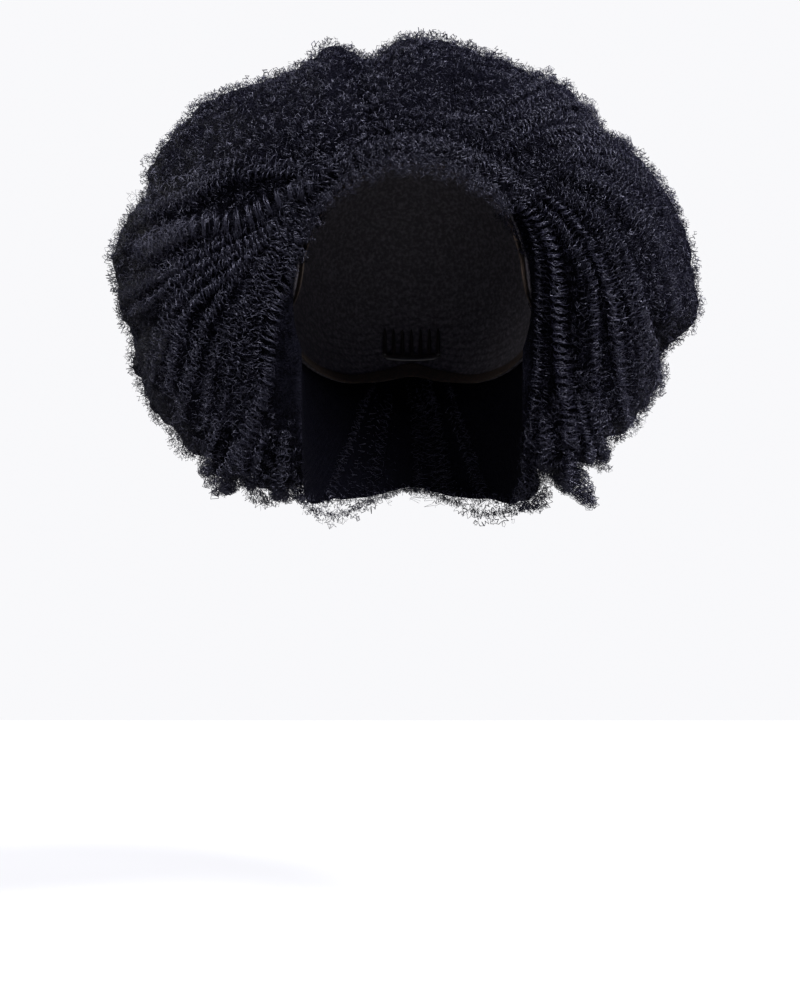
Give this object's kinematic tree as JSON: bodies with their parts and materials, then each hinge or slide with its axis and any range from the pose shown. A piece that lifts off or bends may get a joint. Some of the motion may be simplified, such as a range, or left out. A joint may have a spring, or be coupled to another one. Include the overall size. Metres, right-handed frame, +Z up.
{
  "type": "half wig",
  "caption": "Short round half wig of tightly coiled black hair: fanned locks in sewn sections on a net cap with an elastic edge band and hidden holding combs.",
  "frame": {"origin": "inside of the cap's crown, where the top of the head bears", "axes": "+Z up, the wearer looks along -Y, and +X is to the right of a viewer who faces the wearer"},
  "size_m": [0.3418, 0.2686, 0.2822],
  "materials": {
    "hair": "tightly coiled fibre, satin, near black with a cool cast",
    "net": "black cap net with sewn weft rows, matt",
    "band": "dark brown elastic net band, matt",
    "comb": "dark moulded comb, satin"
  },
  "bodies": {
    "root": {"cap": "net", "edge_band": "band", "front_comb": "comb", "nape_comb": "comb", "front_hair": "hair", "crown_hair": "hair", "left_hair": "hair", "right_hair": "hair", "back_hair": "hair"}
  },
  "joints": []
}
